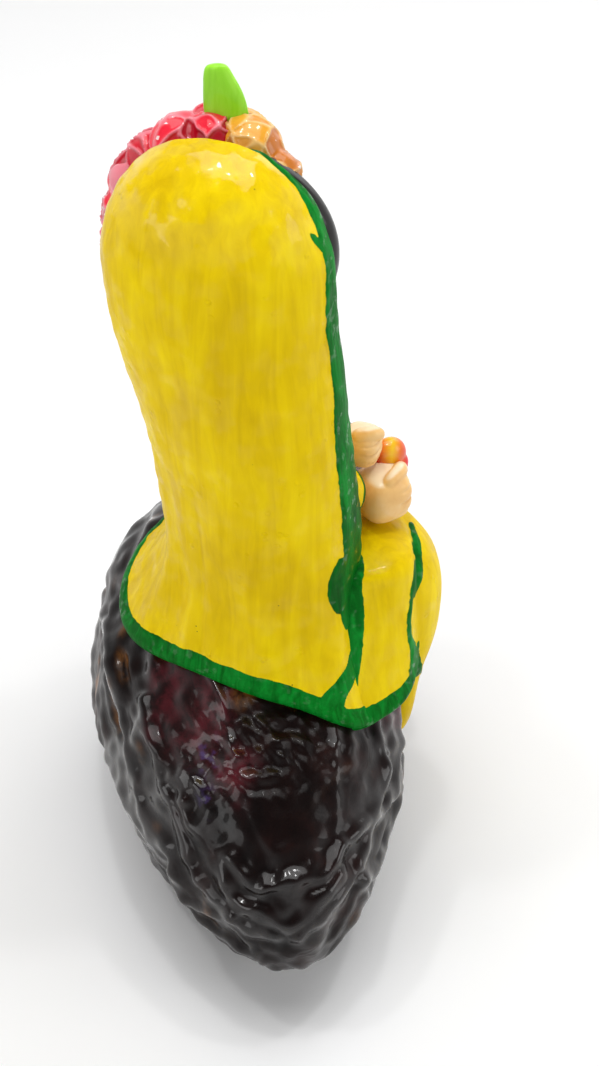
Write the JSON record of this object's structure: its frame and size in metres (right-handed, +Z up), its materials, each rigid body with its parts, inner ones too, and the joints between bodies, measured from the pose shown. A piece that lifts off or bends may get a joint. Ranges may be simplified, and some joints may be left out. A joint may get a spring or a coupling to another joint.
{
  "type": "painted couple figurine on a pod-shaped base",
  "caption": "Hand-painted souvenir figurine of a seated couple, a woman in a long mantle and her companion, on a dark lacquered pod-shaped base that rests flat on a shelf",
  "frame": {"origin": "on the surface the figurine stands on, under the middle of its overall box", "axes": "+Z up; X along the pod's long axis, with its narrower end towards -X; the couple's knees point to -Y"},
  "size_m": [0.098, 0.0612, 0.1444],
  "materials": {
    "pod_lacquer": "dark brown-black ridged pod under clear gloss lacquer",
    "yellow_paint": "cast resin, brush-painted bright yellow under gloss varnish",
    "green_paint": "deep green brushed border lines under gloss varnish",
    "skin_paint": "peach skin paint on hands and faces",
    "hair_paint": "glossy black painted hair",
    "red_paint": "glossy pinkish-red paint on the headdress and slice",
    "orange_paint": "glossy orange and tan paint on fruit",
    "leaf_paint": "bright lime green painted leaf",
    "straw_paint": "straw-coloured painted hat",
    "shirt_paint": "cream painted shirt",
    "trouser_paint": "brown painted trousers, shoes and sandals"
  },
  "bodies": {
    "root": {"pod_base": "pod_lacquer", "couple": "yellow_paint"}
  },
  "joints": []
}
